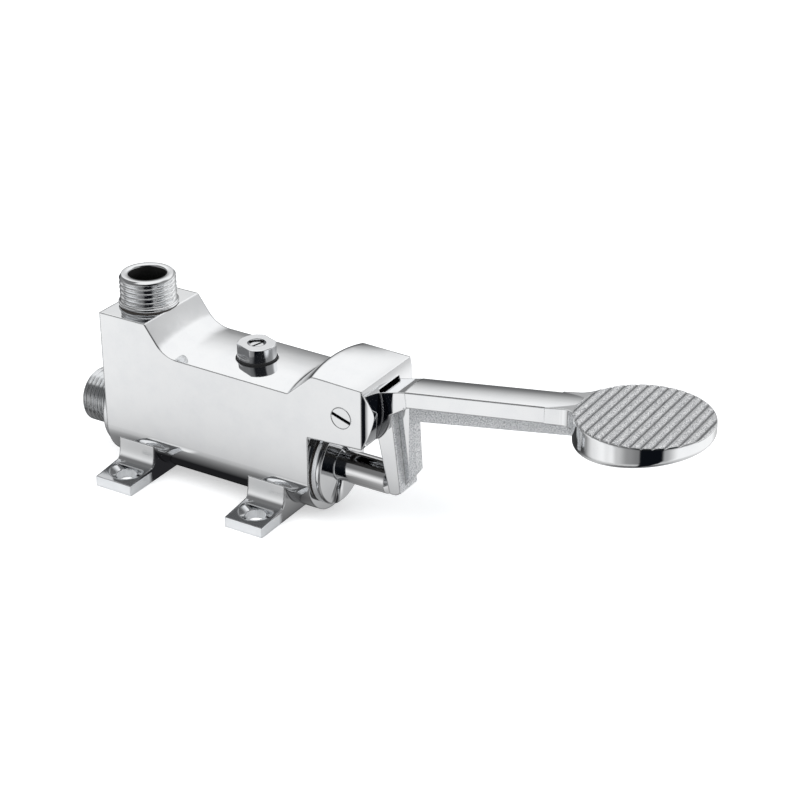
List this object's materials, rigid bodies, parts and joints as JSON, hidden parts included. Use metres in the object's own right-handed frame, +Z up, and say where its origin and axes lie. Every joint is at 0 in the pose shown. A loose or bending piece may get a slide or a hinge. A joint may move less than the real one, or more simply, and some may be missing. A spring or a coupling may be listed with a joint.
{
  "type": "pedal valve",
  "caption": "Floor-standing foot-operated self-closing water valve: threaded inlet and outlet, flow regulator, sprung plunger and hinged pedal lever.",
  "frame": {"origin": "on the floor plane under the axis of the upright outlet, in the valve's centre plane", "axes": "+X forward along the chamber from the inlet towards the pedal, +Z up along the outlet, +Y across"},
  "size_m": [0.2501, 0.062, 0.0761],
  "materials": {
    "chromed_casting": "mirror chrome on cast brass",
    "chromed_turning": "bright chrome on turned brass",
    "chromed_pedal": "chrome on cast brass, polished flange and rough web",
    "turned_brass": "turned",
    "spring_steel": "drawn wire",
    "black_rubber": "matte",
    "fibre_seal": "matte"
  },
  "bodies": {
    "valve_body": {"body": "chromed_casting", "outlet_nipple": "chromed_turning", "outlet_nipple_seal": "fibre_seal", "inlet_nipple": "chromed_turning", "regulator_bonnet": "chromed_turning", "regulator_bonnet_seal": "black_rubber", "front_cap": "chromed_turning", "front_cap_seal": "fibre_seal", "valve_seat": "turned_brass", "valve_seat_seal": "fibre_seal", "spring_guide": "turned_brass", "return_spring": "spring_steel", "pivot_pin": "chromed_turning"},
    "pedal": {"pedal_lever": "chromed_pedal"},
    "plunger_rod": {"plunger": "chromed_turning", "plunger_seal_rings": "black_rubber", "valve_stem": "turned_brass", "valve_disc": "turned_brass", "valve_washer": "black_rubber", "valve_nut": "turned_brass"},
    "throttle": {"throttle_disc": "turned_brass", "throttle_washer": "black_rubber"},
    "spindle": {"regulator_spindle": "turned_brass", "spindle_seal_ring": "black_rubber"}
  },
  "joints": [
    {"name": "pedal_hinge", "type": "hinge", "parent": "valve_body", "child": "pedal", "pos_m": [0.0941, 0, 0.0482], "axis": [0, 1, 0], "range_deg": [0, 9]},
    {"name": "plunger_slide", "type": "slide", "parent": "valve_body", "child": "plunger_rod", "axis": [-1, 0, 0], "range_m": [0, 0.00432], "stiffness_N_per_m": 2900, "springref_m": -0.0045, "deforming": ["return_spring"]},
    {"name": "throttle_lift", "type": "slide", "parent": "valve_body", "child": "throttle", "axis": [0, 0, 1], "range_m": [-0.003, 0.0006]},
    {"name": "spindle_turn", "type": "hinge", "parent": "valve_body", "child": "spindle", "pos_m": [0.048, 0, 0.05], "axis": [0, 0, 1], "range_deg": [-866, 175]}
  ],
  "couplings": [
    {"joint": "plunger_slide", "follows": "pedal_hinge", "m_per_rad": 0.0275},
    {"joint": "spindle_turn", "follows": "throttle_lift", "rad_per_m": 5026.5}
  ]
}
